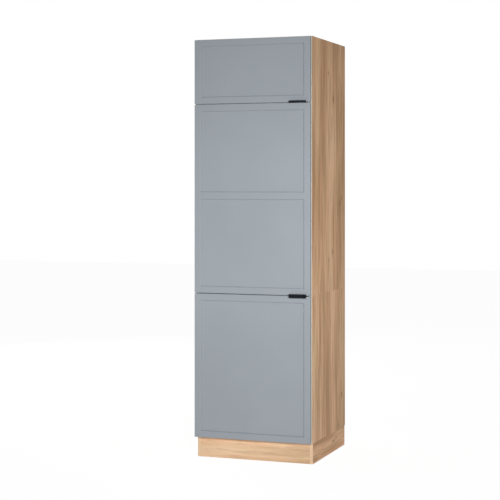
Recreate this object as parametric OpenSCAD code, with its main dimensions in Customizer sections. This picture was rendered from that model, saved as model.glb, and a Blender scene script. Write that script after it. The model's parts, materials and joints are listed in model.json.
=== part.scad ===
// Tall kitchen housing unit for a built-in fridge: a board carcass on four levelling feet with a
// wrap-round plinth and three framed doors, all hinged on the left.
// Millimetres. X runs to the right, Y to the back and Z up. The origin is on the floor, at the middle
// of the overall width and depth.

/* [Cabinet] */
// Overall width of the cabinet
cabinet_w = 600; // [450:10:800]
// Overall height from the floor to the top of the side panels
cabinet_h = 2055; // [2000:5:2200]
// Depth of the side panels, without the doors
carcass_d = 565; // [500:5:620]
// Thickness of the carcass boards
board_t = 16; // [16:1:19]

/* [Doors] */
// Thickness of the doors
door_t = 18; // [17:0.5:22]
// Air between the back of a door and the front edges of the carcass
door_gap = 3; // [2.8:0.1:4]
// Gap between one door and the next
front_gap = 4; // [4:0.5:6]
// How far a door stays inside the sides of the cabinet
side_margin = 2; // [1.5:0.5:3]
// How far the doors stay inside the top and the bottom of the carcass
end_margin = 3; // [2:0.5:4]
// Height of the bottom door
bottom_door_h = 705; // [600:5:760]
// Height of the middle door, which covers the fridge niche
middle_door_h = 922; // [860:1:960]

/* [Door faces] */
// Width of the flat frame round each recessed field
frame_w = 30; // [24:1:45]
// Height of the rail between the two fields of the middle door
mid_rail_h = 31; // [24:1:60]
// Height of the middle of that rail above the lower edge of the middle door
mid_rail_z = 476.5; // [400:0.5:520]
// Depth of the steep step at the inner edge of the frame
step_depth = 2.2; // [1:0.1:3]
// Width of the steep step
step_w = 2.5; // [2:0.5:6]
// Depth of the recessed field below the frame
field_depth = 4.6; // [3.2:0.1:5]
// Width of the shallow bevel between the step and the field
bevel_w = 20; // [10:1:30]
// Chamfer along the front edges of a door
edge_chamfer = 1; // [0.5:0.1:1.5]

/* [Handles] */
// Length of an edge pull
handle_l = 88; // [70:1:140]
// Distance from the free edge of the door to the near end of the pull
handle_inset = 15; // [10:1:40]
// How far the lip of the pull stands in front of the door
handle_reach = 18; // [14:1:24]
// Height of the lip, its bent edge included
lip_h = 9; // [8:0.5:14]
// Corner radius of the lip
lip_r = 4; // [2:0.5:5]
// Sheet thickness of the pull
sheet_t = 1.5; // [1:0.1:1.6]
// Height of the leg that is screwed to the back of the door
leg_h = 22; // [16:1:30]
// Distance between the two screws of a pull
handle_screw_pitch = 56; // [40:1:64]

/* [Plinth and feet] */
// Height of the space below the carcass
plinth_h = 100; // [90:5:130]
// Thickness of the plinth boards
plinth_t = 16; // [12:1:19]
// How far the plinth stands back from the front edges of the carcass
plinth_setback = 23; // [15:1:60]
// How far the plinth stands in from the side panels
plinth_inset = 2.2; // [1:0.1:6]
// Air between the plinth boards and the underside of the carcass
plinth_air = 0.5; // [0.3:0.1:2]
// Radius of the pad of a foot
foot_pad_r = 26; // [20:1:30]
// Height of the pad
foot_pad_h = 8; // [5:1:12]
// Radius of the stem of a foot
stem_r = 6; // [5:0.5:8]
// Outer radius of the sleeve that takes the stem
sleeve_r = 11; // [10:0.5:13]
// Length of the sleeve below its flange
sleeve_l = 42; // [35:1:48]
// Side of the square flange of a foot socket
flange_w = 60; // [50:1:64]
// Thickness of the flange
flange_t = 4; // [3:0.5:6]
// Distance from the middle of a foot to the outside of the cabinet
foot_inset_x = 62; // [60:1:90]
// Distance from the middle of a front foot to the back of the front plinth board
foot_inset_front = 40; // [36:1:80]
// Distance from the middle of a rear foot to the rear edge of the bottom board
foot_inset_rear = 40; // [34:1:90]

/* [Inside] */
// Depth of the air duct between the back panels and the wall
duct_d = 50; // [45:1:70]
// Thickness of the back panels
back_t = 3; // [2.5:0.5:4]
// Depth of the grooves that hold the back panels
groove_d = 8; // [6:0.5:9]
// Height of the rear rails
rail_h = 80; // [60:5:120]
// How far a fixed shelf shows behind the door below or above a gap
shelf_lap = 2; // [1:0.5:4]
// How far the loose shelf stands back from the front edges
shelf_setback = 20; // [10:5:60]
// Vertical pitch of the shelf pin holes
pin_pitch = 32; // [25:1:40]
// Radius of a shelf pin
shelf_pin_r = 2.5; // [2:0.5:3]
// Radius of a cam lock
cam_r = 7.5; // [6:0.5:8]
// Thickness of a cam lock
cam_h = 12.5; // [11.5:0.1:13]
// Distance from the end of a board to the middle of its cam lock
cam_inset = 34; // [24:1:40]
// Radius of the bolt between a cam lock and the side panel
bolt_r = 3; // [2.5:0.1:3.5]
// Radius of a rail dowel
dowel_r = 4; // [3:0.5:4]
// Length of a rail dowel
dowel_l = 30; // [25:1:40]
// Radius of the wall screw holes in the top rear rail
wall_hole_r = 4; // [3:0.5:5]
// Distance between the two wall screw holes
wall_hole_pitch = 320; // [200:10:340]

/* [Hinges] */
// Radius of a hinge cup
cup_r = 17.5; // [17:0.1:18]
// Depth of a hinge cup in the door
cup_depth = 12.5; // [12.3:0.1:13]
// Wall between the cup bore and the edge of the door
cup_edge = 3; // [2.6:0.1:3.2]
// Distance from the hinged edge of a door to the hinge pin
pin_edge = 7; // [6.8:0.1:7.4]
// Depth of the hinge pin below the back of the door
pin_depth = 8.6; // [8.4:0.1:8.9]
// Radius of the hinge pin
pin_r = 1.5; // [1.2:0.1:1.5]
// Sheet thickness of the hinge neck
neck_t = 2; // [1.8:0.1:2.2]
// Width of the hinge neck
neck_w = 8; // [6:0.5:8.5]
// Width of the hinge arm
arm_w = 14; // [12:0.5:18]
// Length of the hinge arm behind the front edge of the side panel
arm_l = 62; // [55:1:80]
// Distance from the front edge of the side panel to the hinge plate's screws
plate_y = 37; // [35:1:40]
// Distance between the two screws of a hinge plate
plate_pitch = 32; // [30:1:36]
// Distance from the ends of the tall doors to their outer hinges
hinge_end = 100; // [80:5:150]
// Distance from the ends of the top door to its hinges
top_hinge_end = 80; // [60:5:100]

/* [Hidden] */
$fn = 48;
// Running clearance round the hinge pins and the feet's stems
run_fit = 0.05;
// Clearance round screws, dowels, cams and pins that are pressed or turned in
press_gap = 0.05;
// Clearance on each side of a back panel in its groove
groove_gap = 0.15;
// Air between faces that meet when the cabinet is at rest
seat_gap = 0.3;
// Overlap that keeps a cut open through a face
cut = 0.5;

side_x = cabinet_w / 2;
inner_x = side_x - board_t;
total_d = handle_reach + door_t + door_gap + carcass_d;
back_y = total_d / 2;
front_y = back_y - carcass_d;
door_back_y = front_y - door_gap;
door_front_y = door_back_y - door_t;
lip_y = door_front_y - handle_reach;
panel_back_y = back_y - duct_d;
panel_y = panel_back_y - back_t;

bottom_door_z = plinth_h + end_margin;
lower_gap_z = bottom_door_z + bottom_door_h;
middle_door_z = lower_gap_z + front_gap;
upper_gap_z = middle_door_z + middle_door_h;
top_door_z = upper_gap_z + front_gap;
top_door_h = cabinet_h - end_margin - top_door_z;
door_x = side_x - side_margin;

bottom_top_z = plinth_h + board_t;
niche_floor_z = lower_gap_z - shelf_lap;
niche_ceiling_z = top_door_z + shelf_lap - board_t;
top_panel_z = cabinet_h - board_t;
niche_mid_z = (niche_floor_z + board_t + niche_ceiling_z) / 2;
fixed_board_z = [plinth_h, niche_floor_z, niche_ceiling_z, top_panel_z];
rail_z = [plinth_h, niche_mid_z - rail_h / 2, cabinet_h - rail_h];

// Joints between the boards
joint_row_inset = 40;
joint_row_y = [front_y + joint_row_inset, panel_y - joint_row_inset];
bolt_bite = 11;
bolt_bore_r = bolt_r + 1;
bolt_tip_r = bolt_r - 0.5;
dowel_bite = board_t - 4;
dowel_z_share = [0.25, 0.75];

// Loose shelf and the holes for its pins
pin_row_inset = 70;
pin_row_y = [front_y + pin_row_inset, panel_y - pin_row_inset];
pin_row_z = (bottom_top_z + niche_floor_z) / 2;
pin_steps = [-2, -1, 0, 1, 2];
pin_hole_d = 10;
pin_plate = [9, 12, 2.5];
loose_shelf_z = pin_row_z + shelf_pin_r;
shelf_side_air = 1;
shelf_back_air = 2;

// Feet, sockets and plinth
foot_y = [front_y + plinth_setback + plinth_t + foot_inset_front, panel_y - foot_inset_rear];
foot_x = side_x - foot_inset_x;
sleeve_top_z = plinth_h - 1;
stem_top_z = sleeve_top_z - seat_gap;
foot_cone_r = stem_r + 5;
foot_collar_r = stem_r + 3;
foot_collar_h = 10;
socket_screw_r = 2;
socket_screw_bite = 12;
socket_screw_at = flange_w / 2 - 8;
head_h = 2;
plinth_front_y = front_y + plinth_setback;
plinth_side_x = side_x - plinth_inset;
plinth_top_z = plinth_h - plinth_air;
clip_t = 4;
clip_h = 14;
clip_drop = 24;
clip_z = plinth_h - flange_t - clip_drop;
clip_pad_w = 24;
corner_block = 22;
corner_block_h = 60;

// Hinges
pin_x = -door_x + pin_edge;
pin_y = door_back_y - pin_depth;
cup_x = -door_x + cup_edge + cup_r;
cup_wall = 0.8;
eye_wall = 0.8;
cup_flange_t = 1.2;
cup_screw_pitch = 45;
wing_x = cup_x + 9.5;
wing_w = 20;
wing_z = cup_screw_pitch / 2 + 6;
cup_screw_bite = 10;
cup_head_t = 0.8;
small_screw_r = 1.75;
screw_r = 2;
neck_r = 8;
neck_eye_r = pin_r + run_fit + eye_wall;
neck_bar_l = 17;
neck_bar_end = pin_x + neck_bar_l;
arm_top_x = neck_bar_end + neck_r + neck_t / 2;
arm_start_y = front_y + 3;
arm_wall = 1.5;
plate_base_t = 2;
plate_base_w = 14;
plate_wing_z = plate_pitch / 2 + 8;
plate_screw_bite = board_t - 4;
plate_screw_spare = 0.4;
arm_screw_fore = 9;
arm_screw_aft = 12;
arm_screw_y = [plate_y - arm_screw_fore, plate_y + arm_screw_aft];
arm_screw_hole_floor = 1;
arm_screw_tip = 2;
spine_fore = 15;
spine_aft = 19;
spine_w = arm_w / 2 - arm_wall - 0.2;
top_hinges = [top_door_z + top_hinge_end, top_door_z + top_door_h - top_hinge_end];
middle_hinges = [
    middle_door_z + hinge_end,
    middle_door_z + middle_door_h / 2,
    middle_door_z + middle_door_h - hinge_end
];
bottom_hinges = [bottom_door_z + hinge_end, bottom_door_z + bottom_door_h - hinge_end];
all_hinges = concat(bottom_hinges, middle_hinges, top_hinges);

// Handles and bumpers
handle_x = door_x - handle_inset - handle_l / 2;
handle_screw_bite = 11;
handle_head_t = 1;
handle_screw_edge = 8;
handle_screw_z = leg_h - handle_screw_edge;
bumper_r = 4;
bumper_end = 12;

// Simple shapes

module block(x0, x1, y0, y1, z0, z1) {
    translate([x0, y0, z0]) cube([x1 - x0, y1 - y0, z1 - z0]);
}

module rod_x(x0, x1, y, z, r) {
    translate([x0, y, z]) rotate([0, 90, 0]) cylinder(h = x1 - x0, r = r);
}

module rod_y(x, y0, y1, z, r) {
    translate([x, y1, z]) rotate([90, 0, 0]) cylinder(h = y1 - y0, r = r);
}

module rod_z(x, y, z0, z1, r) {
    translate([x, y, z0]) cylinder(h = z1 - z0, r = r);
}

// A solid through upright rectangles, each given as [y, x0, x1, z0, z1], from front to back
module loft_y(rings) {
    n = len(rings);
    points = [for (r = rings) each
        [[r[1], r[0], r[3]], [r[2], r[0], r[3]], [r[2], r[0], r[4]], [r[1], r[0], r[4]]]];
    sides = [for (i = [0:n - 2], k = [0:3])
        [4 * i + k, 4 * i + (k + 1) % 4, 4 * (i + 1) + (k + 1) % 4, 4 * (i + 1) + k]];
    last = 4 * (n - 1);
    polyhedron(points, concat([[3, 2, 1, 0]], sides, [[last, last + 1, last + 2, last + 3]]));
}

// Carcass

module pin_holes(x0, x1) {
    for (y = pin_row_y, k = pin_steps)
        rod_x(x0, x1, y, pin_row_z + k * pin_pitch, shelf_pin_r + press_gap);
}

// The left side panel; the right one is its mirror image without the hinge screw holes
module side_panel(hinged) {
    difference() {
        block(-side_x, -inner_x, front_y, back_y, plinth_h, cabinet_h);
        block(-inner_x - groove_d, -inner_x + cut, panel_y - groove_gap, panel_back_y + groove_gap,
            plinth_h - cut, cabinet_h + cut);
        pin_holes(-inner_x - pin_hole_d, -inner_x + cut);
        for (z = fixed_board_z, y = joint_row_y)
            rod_x(-inner_x - bolt_bite, -inner_x + cut, y, z + board_t / 2, bolt_tip_r + press_gap);
        for (z = rail_z, s = dowel_z_share)
            rod_x(-inner_x - dowel_bite, -inner_x + cut, back_y - board_t / 2, z + s * rail_h,
                dowel_r + press_gap);
        if (hinged)
            for (z = all_hinges, s = [-1, 1])
                rod_x(-inner_x - plate_screw_bite, -inner_x + cut, front_y + plate_y,
                    z + s * plate_pitch / 2, screw_r + press_gap);
    }
}

module side_panel_left() color("burlywood") side_panel(true);
module side_panel_right() color("burlywood") mirror([1, 0, 0]) side_panel(false);

// A fixed board between the side panels, with pockets for its cam locks and their bolts
module fixed_board(z) {
    difference() {
        block(-inner_x, inner_x, front_y, panel_y, z, z + board_t);
        for (y = joint_row_y, s = [-1, 1]) {
            rod_z(s * (inner_x - cam_inset), y, z - cut, z + cam_h + press_gap, cam_r + press_gap);
            mirror([s > 0 ? 1 : 0, 0, 0])
                rod_x(-inner_x - cut, -inner_x + cam_inset, y, z + board_t / 2, bolt_bore_r);
        }
    }
}

module top_panel() color("burlywood") fixed_board(top_panel_z);
module niche_floor() color("burlywood") fixed_board(niche_floor_z);
module niche_ceiling() color("burlywood") fixed_board(niche_ceiling_z);

module bottom_panel() {
    color("burlywood") difference() {
        fixed_board(plinth_h);
        socket_screw_places()
            rod_z(0, 0, plinth_h - cut, plinth_h + socket_screw_bite + cut, socket_screw_r + press_gap);
    }
}

module cam_locks() {
    color("silver")
        for (z = fixed_board_z, y = joint_row_y, s = [-1, 1])
            translate([s * (inner_x - cam_inset), y, z]) difference() {
                cylinder(h = cam_h, r = cam_r);
                rod_x(s > 0 ? -1 : -cam_r - cut, s > 0 ? cam_r + cut : 1, 0, board_t / 2, bolt_r + 0.4);
                translate([-cam_r * 0.6, -0.8, -cut]) cube([cam_r * 1.2, 1.6, cut + 1.4]);
                translate([-0.8, -cam_r * 0.6, -cut]) cube([1.6, cam_r * 1.2, cut + 1.4]);
            }
}

module cam_bolts() {
    color("silver")
        for (z = fixed_board_z, y = joint_row_y, s = [-1, 1])
            mirror([s > 0 ? 1 : 0, 0, 0]) union() {
                rod_x(-inner_x, -inner_x + cam_inset - 0.4, y, z + board_t / 2, bolt_r);
                rod_x(-inner_x - bolt_bite + 0.4, -inner_x + 1, y, z + board_t / 2, bolt_tip_r);
            }
}

module rear_rail(z, wall_holes) {
    color("burlywood") difference() {
        block(-inner_x, inner_x, back_y - board_t, back_y, z, z + rail_h);
        for (s = [-1, 1], k = dowel_z_share)
            mirror([s > 0 ? 1 : 0, 0, 0])
                rod_x(-inner_x - cut, -inner_x + dowel_l - dowel_bite + 1, back_y - board_t / 2,
                    z + k * rail_h, dowel_r + press_gap);
        if (wall_holes)
            for (s = [-1, 1])
                rod_y(s * wall_hole_pitch / 2, back_y - board_t - cut, back_y + cut, z + rail_h / 2,
                    wall_hole_r);
    }
}

module rear_rail_bottom() rear_rail(rail_z[0], false);
module rear_rail_niche() rear_rail(rail_z[1], false);
module rear_rail_top() rear_rail(rail_z[2], true);

module rail_dowels() {
    color("tan")
        for (z = rail_z, k = dowel_z_share, s = [-1, 1])
            mirror([s > 0 ? 1 : 0, 0, 0])
                rod_x(-inner_x - dowel_bite + 0.4, -inner_x - dowel_bite + dowel_l,
                    back_y - board_t / 2, z + k * rail_h, dowel_r);
}

// A back panel in the grooves of the side panels
module back_panel(z0, z1) {
    x = inner_x + groove_d - 0.5;
    color("wheat") block(-x, x, panel_y, panel_back_y, z0, z1);
}

module back_panel_lower() back_panel(plinth_h, niche_floor_z + board_t);
module back_panel_upper() back_panel(niche_ceiling_z, cabinet_h);

module adjustable_shelf() {
    x = inner_x - shelf_side_air;
    z = loose_shelf_z;
    color("burlywood")
        block(-x, x, front_y + shelf_setback, panel_y - shelf_back_air, z, z + board_t);
}

module shelf_pins() {
    color("silver")
        for (y = pin_row_y, s = [-1, 1])
            mirror([s > 0 ? 1 : 0, 0, 0]) union() {
                rod_x(-inner_x - pin_hole_d + 0.4, -inner_x + pin_plate[0] / 2, y, pin_row_z, shelf_pin_r);
                block(-inner_x + 0.1, -inner_x + pin_plate[0], y - pin_plate[1] / 2, y + pin_plate[1] / 2,
                    loose_shelf_z - pin_plate[2], loose_shelf_z);
            }
}

// Plinth and feet

// The front board stands between the side boards, whose front edges show beside it
module plinth_front() {
    x = plinth_side_x - plinth_t;
    color("tan") block(-x, x, plinth_front_y, plinth_front_y + plinth_t, 0, plinth_top_z);
}

module plinth_side_left() {
    x = -plinth_side_x;
    color("tan") block(x, x + plinth_t, plinth_front_y, back_y, 0, plinth_top_z);
}

module plinth_side_right() color("tan") mirror([1, 0, 0]) plinth_side_left();

// Three-cornered blocks that join the front plinth board to the side ones
module plinth_corner_blocks() {
    x = plinth_side_x - plinth_t;
    y = plinth_front_y + plinth_t;
    color("dimgray")
        for (s = [-1, 1])
            mirror([s > 0 ? 1 : 0, 0, 0])
                translate([-x, y, (plinth_top_z - corner_block_h) / 2])
                    linear_extrude(corner_block_h) polygon([[0, 0], [corner_block, 0], [0, corner_block]]);
}

// Puts its children at each of the four feet
module at_feet() {
    for (y = foot_y, s = [-1, 1]) translate([s * foot_x, y, 0]) children();
}

module socket_screw_places() {
    at_feet()
        for (u = [-1, 1], v = [-1, 1]) translate([u * socket_screw_at, v * socket_screw_at, 0]) children();
}

module foot_sockets() {
    z = plinth_h - flange_t;
    color("dimgray") difference() {
        at_feet() union() {
            block(-flange_w / 2, flange_w / 2, -flange_w / 2, flange_w / 2, z, plinth_h);
            rod_z(0, 0, z - sleeve_l, z + flange_t / 2, sleeve_r);
        }
        at_feet() rod_z(0, 0, z - sleeve_l - cut, sleeve_top_z, stem_r + run_fit);
        socket_screw_places() rod_z(0, 0, z - cut, plinth_h + cut, socket_screw_r + press_gap);
    }
}

module socket_screws() {
    z = plinth_h - flange_t;
    color("silver") socket_screw_places() union() {
        rod_z(0, 0, z - head_h, z, socket_screw_r * 1.9);
        rod_z(0, 0, z - head_h / 2, plinth_h + socket_screw_bite, socket_screw_r);
    }
}

module foot(x, y) {
    color("dimgray") translate([x, y, 0]) union() {
        cylinder(h = foot_pad_h / 2, r = foot_pad_r);
        translate([0, 0, foot_pad_h / 2]) cylinder(h = foot_pad_h / 2, r1 = foot_pad_r, r2 = foot_cone_r);
        rod_z(0, 0, foot_pad_h / 2, stem_top_z, stem_r);
        rod_z(0, 0, foot_pad_h - 1, foot_pad_h + foot_collar_h, foot_collar_r);
    }
}

module foot_front_left() foot(-foot_x, foot_y[0]);
module foot_front_right() foot(foot_x, foot_y[0]);
module foot_rear_left() foot(-foot_x, foot_y[1]);
module foot_rear_right() foot(foot_x, foot_y[1]);

// A clip that grips a sleeve and holds a plinth board at the distance reach, towards -Y
module plinth_clip(reach) {
    ring_r = sleeve_r + press_gap;
    difference() {
        union() {
            rod_z(0, 0, clip_z, clip_z + clip_h, ring_r + clip_t);
            block(-clip_t, clip_t, -reach + clip_t / 2, -ring_r, clip_z, clip_z + clip_h);
            block(-clip_pad_w / 2, clip_pad_w / 2, -reach, -reach + clip_t, clip_z, clip_z + clip_h);
        }
        rod_z(0, 0, clip_z - cut, clip_z + clip_h + cut, ring_r);
        block(-ring_r * 0.7, ring_r * 0.7, 0, ring_r + clip_t + cut, clip_z - cut, clip_z + clip_h + cut);
    }
}

module plinth_clips() {
    side_reach = plinth_side_x - plinth_t - foot_x;
    color("gray")
        for (s = [-1, 1]) {
            translate([s * foot_x, foot_y[0], 0]) plinth_clip(foot_inset_front);
            translate([s * foot_x, foot_y[1], 0]) rotate([0, 0, s * 90]) plinth_clip(side_reach);
        }
}

// Hinges

// The neck of a hinge arm seen from above: an eye round the hinge pin, a bar along the floor of the
// cup and a bend that leads out of the cup's mouth
module neck_outline() {
    difference() {
        union() {
            translate([pin_x, pin_y]) circle(r = neck_eye_r);
            translate([pin_x, pin_y - neck_t / 2]) square([neck_bar_end - pin_x, neck_t]);
            translate([neck_bar_end, pin_y + neck_r]) intersection() {
                difference() {
                    circle(r = neck_r + neck_t / 2);
                    circle(r = neck_r - neck_t / 2);
                }
                translate([0, -2 * neck_r]) square(2 * neck_r);
            }
            translate([arm_top_x - neck_t, pin_y + neck_r])
                square([neck_t, arm_start_y + 2 - pin_y - neck_r]);
        }
        translate([pin_x, pin_y]) circle(r = pin_r + run_fit);
    }
}

module hinge_arms() {
    y1 = front_y + arm_l;
    color("silver") for (z = all_hinges) difference() {
        union() {
            translate([0, 0, z - neck_w / 2]) linear_extrude(neck_w) neck_outline();
            block(arm_top_x - neck_t, arm_top_x, arm_start_y, y1, z - arm_w / 2, z + arm_w / 2);
            for (s = [-1, 1])
                block(-inner_x + plate_base_t, arm_top_x - neck_t / 2, arm_start_y + 12, y1,
                    z + (s > 0 ? arm_w / 2 - arm_wall : -arm_w / 2),
                    z + (s > 0 ? arm_w / 2 : -arm_w / 2 + arm_wall));
        }
        for (y = arm_screw_y)
            rod_x(arm_top_x - neck_t - cut, arm_top_x + cut, front_y + y, z, screw_r + press_gap);
    }
}

module hinge_plates() {
    color("lightgray") for (z = all_hinges) difference() {
        union() {
            block(-inner_x, -inner_x + plate_base_t, front_y + plate_y - plate_base_w / 2,
                front_y + plate_y + plate_base_w / 2, z - plate_wing_z, z + plate_wing_z);
            block(-inner_x, arm_top_x - neck_t, front_y + plate_y - spine_fore, front_y + plate_y + spine_aft,
                z - spine_w, z + spine_w);
        }
        for (s = [-1, 1])
            rod_x(-inner_x - cut, -inner_x + plate_base_t + cut, front_y + plate_y, z + s * plate_pitch / 2,
                screw_r + press_gap);
        for (y = arm_screw_y)
            rod_x(-inner_x + arm_screw_hole_floor, arm_top_x, front_y + y, z, screw_r + press_gap);
    }
}

// The screws that hold the plates to the side panel and the arms to the plates
module hinge_screws() {
    head_r = screw_r * 1.75;
    color("silver") for (z = all_hinges) {
        for (s = [-1, 1]) union() {
            rod_x(-inner_x - plate_screw_bite + plate_screw_spare, -inner_x + plate_base_t + head_h / 2,
                front_y + plate_y, z + s * plate_pitch / 2, screw_r);
            rod_x(-inner_x + plate_base_t, -inner_x + plate_base_t + head_h, front_y + plate_y,
                z + s * plate_pitch / 2, head_r);
        }
        for (y = arm_screw_y) union() {
            rod_x(-inner_x + arm_screw_tip, arm_top_x + head_h / 2, front_y + y, z, screw_r);
            rod_x(arm_top_x, arm_top_x + head_h, front_y + y, z, head_r);
        }
    }
}

module cup_screw_places(hinges) {
    for (z = hinges, s = [-1, 1]) translate([wing_x, 0, z + s * cup_screw_pitch / 2]) children();
}

// Hinge cups with their flanges and pins
module hinge_cups(hinges) {
    floor_y = door_back_y - cup_depth;
    color("silver") difference() {
        for (z = hinges) union() {
            difference() {
                union() {
                    rod_y(cup_x, floor_y, door_back_y + cup_flange_t, z, cup_r);
                    block(wing_x - wing_w / 2, wing_x + wing_w / 2, door_back_y, door_back_y + cup_flange_t,
                        z - wing_z, z + wing_z);
                }
                rod_y(cup_x, floor_y + cup_wall, door_back_y + cup_flange_t + cut, z, cup_r - cup_wall);
            }
            intersection() {
                rod_z(pin_x, pin_y, z - cup_r, z + cup_r, pin_r);
                rod_y(cup_x, floor_y + cup_wall / 2, door_back_y, z, cup_r - cup_wall / 2);
            }
        }
        cup_screw_places(hinges)
            rod_y(0, door_back_y - cut, door_back_y + cup_flange_t + cut, 0, small_screw_r + press_gap);
    }
}

module cup_screws(hinges) {
    top_y = door_back_y + cup_flange_t;
    color("silver") cup_screw_places(hinges) union() {
        rod_y(0, door_back_y - cup_screw_bite, top_y + cup_head_t / 2, 0, small_screw_r);
        rod_y(0, top_y, top_y + cup_head_t, 0, small_screw_r * 1.9);
    }
}

// Doors

// The tapered hollow of one recessed field, whose outline is the inner edge of the frame
module field_hollow(z0, z1) {
    x = door_x - frame_w;
    slope = step_w / step_depth;
    y0 = door_front_y;
    inner = step_w + bevel_w;
    loft_y([
        [y0 - cut, -x - cut * slope, x + cut * slope, z0 - cut * slope, z1 + cut * slope],
        [y0 + step_depth, -x + step_w, x - step_w, z0 + step_w, z1 - step_w],
        [y0 + field_depth, -x + inner, x - inner, z0 + inner, z1 - inner]
    ]);
}

// A door with its milled fields, given as [z0, z1], its cup bores and its pilot holes. pull_up is 1
// where the pull sits on the lower edge and points up, and -1 where it sits on the upper edge
module door(z0, h, fields, hinges, pull_up) {
    c = edge_chamfer;
    z1 = z0 + h;
    color("lightslategray") difference() {
        loft_y([
            [door_front_y, -door_x + c, door_x - c, z0 + c, z1 - c],
            [door_front_y + c, -door_x, door_x, z0, z1],
            [door_back_y, -door_x, door_x, z0, z1]
        ]);
        for (f = fields) field_hollow(f[0], f[1]);
        for (z = hinges)
            rod_y(cup_x, door_back_y - cup_depth - press_gap, door_back_y + cut, z, cup_r + press_gap);
        cup_screw_places(hinges)
            rod_y(0, door_back_y - cup_screw_bite - press_gap, door_back_y + cut, 0,
                small_screw_r + press_gap);
        handle_screw_places(z0, z1, pull_up)
            rod_y(0, door_back_y - handle_screw_bite - press_gap, door_back_y + cut, 0,
                small_screw_r + press_gap);
    }
}

// The pull in section, from the side: Y to the right, Z up, with the door's edge at Z = 0
module pull_outline() {
    lip_back = lip_y + sheet_t;
    bend = sheet_t;
    translate([door_back_y, -sheet_t + bend]) square([sheet_t, leg_h + sheet_t - bend]);
    translate([lip_y + bend, -sheet_t]) square([door_back_y + sheet_t - 2 * bend - lip_y, sheet_t]);
    translate([lip_y, -sheet_t + bend]) square([sheet_t, lip_h - bend]);
    for (side = [0, 1])
        translate([side > 0 ? door_back_y : lip_back, 0]) intersection() {
            circle(r = bend);
            translate([side > 0 ? 0 : -bend, -bend]) square(bend);
        }
}

// Puts its children, written for a lower edge at Z = 0, on the edge that holds the pull
module on_edge(z0, z1, pull_up) {
    if (pull_up > 0) translate([0, 0, z0]) children();
    else translate([0, 0, z1]) mirror([0, 0, 1]) children();
}

module handle_screw_places(z0, z1, pull_up) {
    on_edge(z0, z1, pull_up)
        for (s = [-1, 1]) translate([handle_x + s * handle_screw_pitch / 2, 0, handle_screw_z]) children();
}

module corner_cut(s) {
    z = lip_h - sheet_t - lip_r;
    translate([handle_x + s * (handle_l / 2 - lip_r), 0, z]) mirror([s > 0 ? 0 : 1, 0, 0]) difference() {
        block(0, lip_r + cut, lip_y - cut, lip_y + sheet_t + cut, 0, lip_r + cut);
        rod_y(0, lip_y - 2 * cut, lip_y + sheet_t + 2 * cut, 0, lip_r);
    }
}

module handle(z0, z1, pull_up) {
    color("#15191f") difference() {
        on_edge(z0, z1, pull_up) difference() {
            translate([handle_x - handle_l / 2, 0, 0])
                rotate([90, 0, 90]) linear_extrude(handle_l) pull_outline();
            for (s = [-1, 1]) corner_cut(s);
        }
        handle_screw_places(z0, z1, pull_up)
            rod_y(0, door_back_y - cut, door_back_y + sheet_t + cut, 0, small_screw_r + press_gap);
    }
}

module handle_screws(z0, z1, pull_up) {
    top_y = door_back_y + sheet_t;
    color("silver") handle_screw_places(z0, z1, pull_up) union() {
        rod_y(0, door_back_y - handle_screw_bite, top_y + handle_head_t / 2, 0, small_screw_r);
        rod_y(0, top_y, top_y + handle_head_t, 0, small_screw_r * 1.9);
    }
}

// Soft pads at the free edge, which meet the front edge of the right side panel
module bumpers(z0, z1) {
    color("gainsboro")
        for (z = [z0 + bumper_end, z1 - bumper_end])
            rod_y(side_x - board_t / 2, door_back_y, door_back_y + door_gap - seat_gap, z, bumper_r);
}

top_door_end = top_door_z + top_door_h;
middle_door_end = middle_door_z + middle_door_h;
bottom_door_end = bottom_door_z + bottom_door_h;
mid_rail_low = middle_door_z + mid_rail_z - mid_rail_h / 2;

module door_top() {
    fields = [[top_door_z + frame_w, top_door_end - frame_w]];
    door(top_door_z, top_door_h, fields, top_hinges, 1);
}

module door_middle() {
    fields = [
        [middle_door_z + frame_w, mid_rail_low],
        [mid_rail_low + mid_rail_h, middle_door_end - frame_w]
    ];
    door(middle_door_z, middle_door_h, fields, middle_hinges, 1);
}

module door_bottom() {
    fields = [[bottom_door_z + frame_w, bottom_door_end - frame_w]];
    door(bottom_door_z, bottom_door_h, fields, bottom_hinges, -1);
}

module handle_top() handle(top_door_z, top_door_end, 1);
module handle_middle() handle(middle_door_z, middle_door_end, 1);
module handle_bottom() handle(bottom_door_z, bottom_door_end, -1);
module handle_screws_top() handle_screws(top_door_z, top_door_end, 1);
module handle_screws_middle() handle_screws(middle_door_z, middle_door_end, 1);
module handle_screws_bottom() handle_screws(bottom_door_z, bottom_door_end, -1);
module hinge_cups_top() hinge_cups(top_hinges);
module hinge_cups_middle() hinge_cups(middle_hinges);
module hinge_cups_bottom() hinge_cups(bottom_hinges);
module cup_screws_top() cup_screws(top_hinges);
module cup_screws_middle() cup_screws(middle_hinges);
module cup_screws_bottom() cup_screws(bottom_hinges);
module bumpers_top() bumpers(top_door_z, top_door_end);
module bumpers_middle() bumpers(middle_door_z, middle_door_end);
module bumpers_bottom() bumpers(bottom_door_z, bottom_door_end);

side_panel_left();
side_panel_right();
top_panel();
bottom_panel();
niche_floor();
niche_ceiling();
adjustable_shelf();
shelf_pins();
back_panel_lower();
back_panel_upper();
rear_rail_bottom();
rear_rail_niche();
rear_rail_top();
rail_dowels();
cam_locks();
cam_bolts();
plinth_front();
plinth_side_left();
plinth_side_right();
plinth_corner_blocks();
plinth_clips();
foot_sockets();
socket_screws();
foot_front_left();
foot_front_right();
foot_rear_left();
foot_rear_right();
hinge_plates();
hinge_arms();
hinge_screws();
door_top();
handle_top();
handle_screws_top();
hinge_cups_top();
cup_screws_top();
bumpers_top();
door_middle();
handle_middle();
handle_screws_middle();
hinge_cups_middle();
cup_screws_middle();
bumpers_middle();
door_bottom();
handle_bottom();
handle_screws_bottom();
hinge_cups_bottom();
cup_screws_bottom();
bumpers_bottom();
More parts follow.
